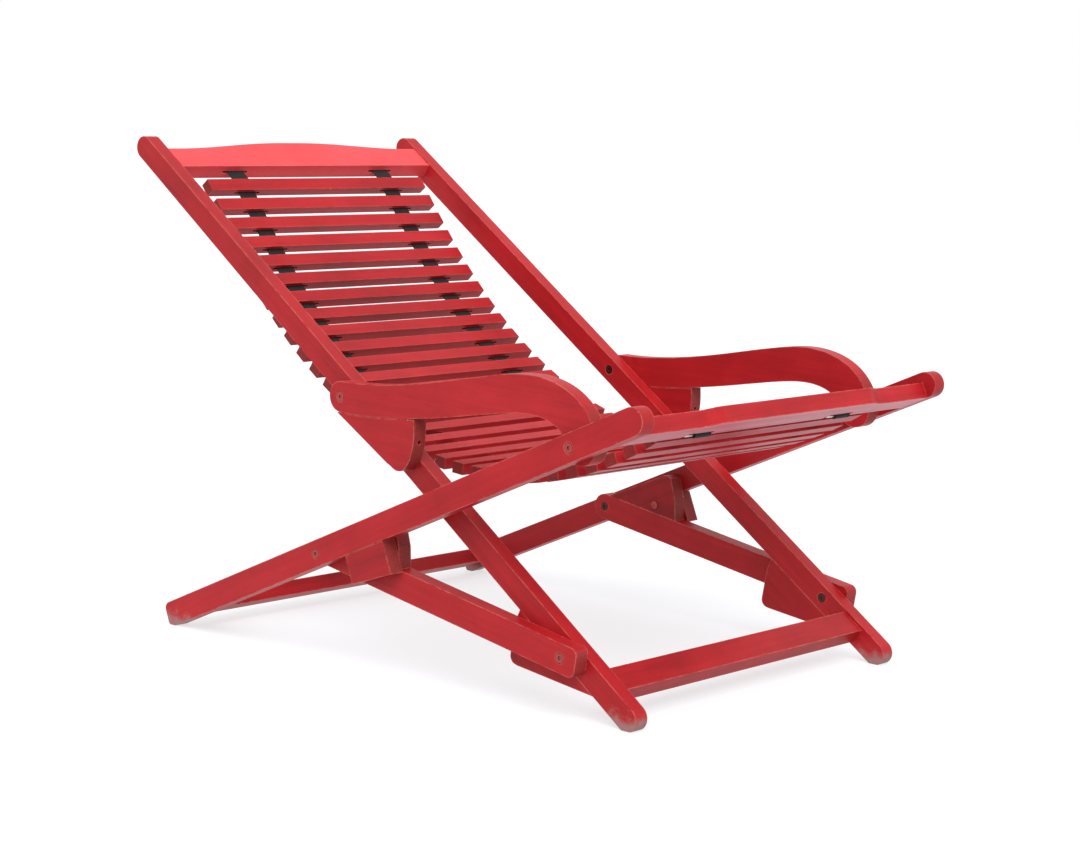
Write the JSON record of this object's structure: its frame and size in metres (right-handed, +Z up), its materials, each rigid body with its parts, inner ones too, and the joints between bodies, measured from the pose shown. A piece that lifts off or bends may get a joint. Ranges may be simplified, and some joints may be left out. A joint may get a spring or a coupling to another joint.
{
  "type": "deck chair",
  "caption": "Folding wooden deck chair: two crossed board frames linked by curved armrests and low struts, with a hanging slatted sling on webbing straps",
  "frame": {"origin": "centre of the bounding box on the floor", "axes": "+Z up, the front faces -Y, +X to the right seen from the front"},
  "size_m": [0.64, 1.0409, 0.7115],
  "materials": {
    "red_wood": "satin red stain over straight-grained wood",
    "slat_wood": "satin red stain over straight-grained wood",
    "block_wood": "satin red stain, darker and browner on end grain",
    "bolt_steel": "dark steel, some heads painted over",
    "pin_steel": "plain pale steel",
    "webbing": "woven black webbing"
  },
  "bodies": {
    "back_frame": {"back_rail_right": "red_wood", "back_rail_left": "red_wood", "crest_rail": "red_wood", "foot_stretcher": "red_wood", "arm_block_right": "block_wood", "arm_block_left": "block_wood", "heel_block_right": "block_wood", "heel_block_left": "block_wood", "back_pivot_bolts": "bolt_steel", "foot_pivot_bolts": "bolt_steel", "crest_strap_pins": "pin_steel", "strap_right": "webbing", "strap_left": "webbing"},
    "armrests": {"armrest_right": "red_wood", "armrest_left": "red_wood", "front_pivot_nuts": "bolt_steel"},
    "struts": {"strut_right": "red_wood", "strut_left": "red_wood", "strut_block_right": "block_wood", "strut_block_left": "block_wood", "under_block_right": "block_wood", "under_block_left": "block_wood", "rear_pivot_bolts": "bolt_steel", "block_screws": "bolt_steel"},
    "seat_frame": {"seat_rail_right": "red_wood", "seat_rail_left": "red_wood", "front_rail": "red_wood", "rear_cross_rail": "red_wood", "front_pivot_bolts": "bolt_steel", "front_strap_pins": "pin_steel"},
    "sling_01": {"slat_1": "slat_wood"},
    "sling_02": {"slat_2": "slat_wood"},
    "sling_03": {"slat_3": "slat_wood"},
    "sling_04": {"slat_4": "slat_wood"},
    "sling_05": {"slat_5": "slat_wood"},
    "sling_06": {"slat_6": "slat_wood"},
    "sling_07": {"slat_7": "slat_wood"},
    "sling_08": {"slat_8": "slat_wood"},
    "sling_09": {"slat_9": "slat_wood"},
    "sling_10": {"slat_10": "slat_wood"},
    "sling_11": {"slat_11": "slat_wood"},
    "sling_12": {"slat_12": "slat_wood"},
    "sling_13": {"slat_13": "slat_wood"},
    "sling_14": {"slat_14": "slat_wood"},
    "sling_15": {"slat_15": "slat_wood"},
    "sling_16": {"slat_16": "slat_wood"},
    "sling_17": {"slat_17": "slat_wood"},
    "sling_18": {"slat_18": "slat_wood"},
    "sling_19": {"slat_19": "slat_wood"},
    "sling_20": {"slat_20": "slat_wood"},
    "sling_21": {"slat_21": "slat_wood"},
    "sling_22": {"slat_22": "slat_wood"},
    "sling_23": {"slat_23": "slat_wood"},
    "sling_24": {"slat_24": "slat_wood"},
    "sling_25": {"slat_25": "slat_wood"},
    "sling_26": {"slat_26": "slat_wood"},
    "sling_27": {"slat_27": "slat_wood"},
    "sling_28": {"slat_28": "slat_wood"},
    "sling_29": {"slat_29": "slat_wood"},
    "sling_30": {"slat_30": "slat_wood"}
  },
  "joints": [
    {"name": "fold", "type": "hinge", "parent": "back_frame", "child": "armrests", "pos_m": [0, 0.04034, 0.37033], "axis": [-1, 0, 0], "range_deg": [0, 28], "deforming": ["strap_right", "strap_left"]},
    {"name": "strut_swing", "type": "hinge", "parent": "back_frame", "child": "struts", "pos_m": [0, -0.37416, 0.0801], "axis": [1, 0, 0], "range_deg": [0, 12.62]},
    {"name": "seat_swing", "type": "hinge", "parent": "struts", "child": "seat_frame", "pos_m": [0, 0.06287, 0.1526], "axis": [-1, 0, 0], "range_deg": [0, 28]},
    {"name": "sling_01_swing", "type": "hinge", "parent": "back_frame", "child": "sling_01", "pos_m": [0, 0.43981, 0.65282], "axis": [-1, 0, 0], "range_deg": [0, 0.435]},
    {"name": "sling_02_swing", "type": "hinge", "parent": "back_frame", "child": "sling_02", "pos_m": [0, 0.42709, 0.6381], "axis": [-1, 0, 0], "range_deg": [0, 0.888]},
    {"name": "sling_03_swing", "type": "hinge", "parent": "back_frame", "child": "sling_03", "pos_m": [0, 0.41509, 0.62343], "axis": [-1, 0, 0], "range_deg": [0, 1.37]},
    {"name": "sling_04_swing", "type": "hinge", "parent": "back_frame", "child": "sling_04", "pos_m": [0, 0.40277, 0.60845], "axis": [-1, 0, 0], "range_deg": [0, 1.91]},
    {"name": "sling_05_swing", "type": "hinge", "parent": "back_frame", "child": "sling_05", "pos_m": [0, 0.38988, 0.59313], "axis": [-1, 0, 0], "range_deg": [0, 2.49]},
    {"name": "sling_06_swing", "type": "hinge", "parent": "back_frame", "child": "sling_06", "pos_m": [0, 0.37632, 0.57754], "axis": [-1, 0, 0], "range_deg": [0, 3.14]},
    {"name": "sling_07_swing", "type": "hinge", "parent": "back_frame", "child": "sling_07", "pos_m": [0, 0.36206, 0.56181], "axis": [-1, 0, 0], "range_deg": [0, 3.86]},
    {"name": "sling_08_swing", "type": "hinge", "parent": "back_frame", "child": "sling_08", "pos_m": [0, 0.34711, 0.54609], "axis": [-1, 0, 0], "range_deg": [0, 4.66]},
    {"name": "sling_09_swing", "type": "hinge", "parent": "back_frame", "child": "sling_09", "pos_m": [0, 0.33149, 0.53055], "axis": [-1, 0, 0], "range_deg": [0, 5.52]},
    {"name": "sling_10_swing", "type": "hinge", "parent": "back_frame", "child": "sling_10", "pos_m": [0, 0.31525, 0.51532], "axis": [-1, 0, 0], "range_deg": [0, 6.46]},
    {"name": "sling_11_swing", "type": "hinge", "parent": "back_frame", "child": "sling_11", "pos_m": [0, 0.29842, 0.50057], "axis": [-1, 0, 0], "range_deg": [0, 7.47]},
    {"name": "sling_12_swing", "type": "hinge", "parent": "back_frame", "child": "sling_12", "pos_m": [0, 0.28107, 0.4864], "axis": [-1, 0, 0], "range_deg": [0, 8.54]},
    {"name": "sling_13_swing", "type": "hinge", "parent": "back_frame", "child": "sling_13", "pos_m": [0, 0.26325, 0.47296], "axis": [-1, 0, 0], "range_deg": [0, 9.68]},
    {"name": "sling_14_swing", "type": "hinge", "parent": "back_frame", "child": "sling_14", "pos_m": [0, 0.24503, 0.46032], "axis": [-1, 0, 0], "range_deg": [0, 10.88]},
    {"name": "sling_15_swing", "type": "hinge", "parent": "back_frame", "child": "sling_15", "pos_m": [0, 0.22648, 0.44857], "axis": [-1, 0, 0], "range_deg": [0, 12.12]},
    {"name": "sling_16_swing", "type": "hinge", "parent": "back_frame", "child": "sling_16", "pos_m": [0, 0.20768, 0.43778], "axis": [-1, 0, 0], "range_deg": [0, 13.41]},
    {"name": "sling_17_swing", "type": "hinge", "parent": "back_frame", "child": "sling_17", "pos_m": [0, 0.18871, 0.42799], "axis": [-1, 0, 0], "range_deg": [0, 14.74]},
    {"name": "sling_18_swing", "type": "hinge", "parent": "back_frame", "child": "sling_18", "pos_m": [0, 0.16964, 0.41925], "axis": [-1, 0, 0], "range_deg": [0, 16.09]},
    {"name": "sling_19_swing", "type": "hinge", "parent": "back_frame", "child": "sling_19", "pos_m": [0, 0.15056, 0.41158], "axis": [-1, 0, 0], "range_deg": [0, 17.46]},
    {"name": "sling_20_swing", "type": "hinge", "parent": "back_frame", "child": "sling_20", "pos_m": [0, 0.13155, 0.40497], "axis": [-1, 0, 0], "range_deg": [0, 18.84]},
    {"name": "sling_21_swing", "type": "hinge", "parent": "back_frame", "child": "sling_21", "pos_m": [0, 0.11269, 0.39944], "axis": [-1, 0, 0], "range_deg": [0, 20.22]},
    {"name": "sling_22_swing", "type": "hinge", "parent": "back_frame", "child": "sling_22", "pos_m": [0, 0.09405, 0.39495], "axis": [-1, 0, 0], "range_deg": [0, 21.6]},
    {"name": "sling_23_swing", "type": "hinge", "parent": "back_frame", "child": "sling_23", "pos_m": [0, 0.0757, 0.39148], "axis": [-1, 0, 0], "range_deg": [0, 22.97]},
    {"name": "sling_24_swing", "type": "hinge", "parent": "back_frame", "child": "sling_24", "pos_m": [0, 0.05769, 0.389], "axis": [-1, 0, 0], "range_deg": [0, 24.33]},
    {"name": "sling_25_swing", "type": "hinge", "parent": "back_frame", "child": "sling_25", "pos_m": [0, 0.04006, 0.38747], "axis": [-1, 0, 0], "range_deg": [0, 25.66]},
    {"name": "sling_26_swing", "type": "hinge", "parent": "back_frame", "child": "sling_26", "pos_m": [0, 0.02284, 0.38683], "axis": [-1, 0, 0], "range_deg": [0, 26.97]},
    {"name": "sling_27_swing", "type": "hinge", "parent": "back_frame", "child": "sling_27", "pos_m": [0, 0.00604, 0.38706], "axis": [-1, 0, 0], "range_deg": [0, 28.27]},
    {"name": "sling_28_swing", "type": "hinge", "parent": "back_frame", "child": "sling_28", "pos_m": [0, -0.01036, 0.38811], "axis": [-1, 0, 0], "range_deg": [0, 29.54]},
    {"name": "sling_29_swing", "type": "hinge", "parent": "back_frame", "child": "sling_29", "pos_m": [0, -0.02638, 0.38994], "axis": [-1, 0, 0], "range_deg": [0, 30.79]},
    {"name": "sling_30_swing", "type": "hinge", "parent": "seat_frame", "child": "sling_30", "pos_m": [0, -0.4561, 0.36538], "axis": [-1, 0, 0], "range_deg": [0, 16.66]}
  ],
  "couplings": [
    {"joint": "strut_swing", "follows": "fold", "ratio": 0.45066},
    {"joint": "seat_swing", "follows": "fold", "ratio": 1},
    {"joint": "sling_01_swing", "follows": "fold", "ratio": 0.01551},
    {"joint": "sling_02_swing", "follows": "fold", "ratio": 0.03167},
    {"joint": "sling_03_swing", "follows": "fold", "ratio": 0.04902},
    {"joint": "sling_04_swing", "follows": "fold", "ratio": 0.06801},
    {"joint": "sling_05_swing", "follows": "fold", "ratio": 0.08899},
    {"joint": "sling_06_swing", "follows": "fold", "ratio": 0.11223},
    {"joint": "sling_07_swing", "follows": "fold", "ratio": 0.13793},
    {"joint": "sling_08_swing", "follows": "fold", "ratio": 0.1662},
    {"joint": "sling_09_swing", "follows": "fold", "ratio": 0.19708},
    {"joint": "sling_10_swing", "follows": "fold", "ratio": 0.23058},
    {"joint": "sling_11_swing", "follows": "fold", "ratio": 0.26661},
    {"joint": "sling_12_swing", "follows": "fold", "ratio": 0.30504},
    {"joint": "sling_13_swing", "follows": "fold", "ratio": 0.34573},
    {"joint": "sling_14_swing", "follows": "fold", "ratio": 0.38844},
    {"joint": "sling_15_swing", "follows": "fold", "ratio": 0.43295},
    {"joint": "sling_16_swing", "follows": "fold", "ratio": 0.479},
    {"joint": "sling_17_swing", "follows": "fold", "ratio": 0.5263},
    {"joint": "sling_18_swing", "follows": "fold", "ratio": 0.57456},
    {"joint": "sling_19_swing", "follows": "fold", "ratio": 0.62348},
    {"joint": "sling_20_swing", "follows": "fold", "ratio": 0.67279},
    {"joint": "sling_21_swing", "follows": "fold", "ratio": 0.72221},
    {"joint": "sling_22_swing", "follows": "fold", "ratio": 0.77148},
    {"joint": "sling_23_swing", "follows": "fold", "ratio": 0.82038},
    {"joint": "sling_24_swing", "follows": "fold", "ratio": 0.86874},
    {"joint": "sling_25_swing", "follows": "fold", "ratio": 0.9164},
    {"joint": "sling_26_swing", "follows": "fold", "ratio": 0.96331},
    {"joint": "sling_27_swing", "follows": "fold", "ratio": 1.0094},
    {"joint": "sling_28_swing", "follows": "fold", "ratio": 1.0548},
    {"joint": "sling_29_swing", "follows": "fold", "ratio": 1.0997},
    {"joint": "sling_30_swing", "follows": "fold", "ratio": 0.59481}
  ]
}
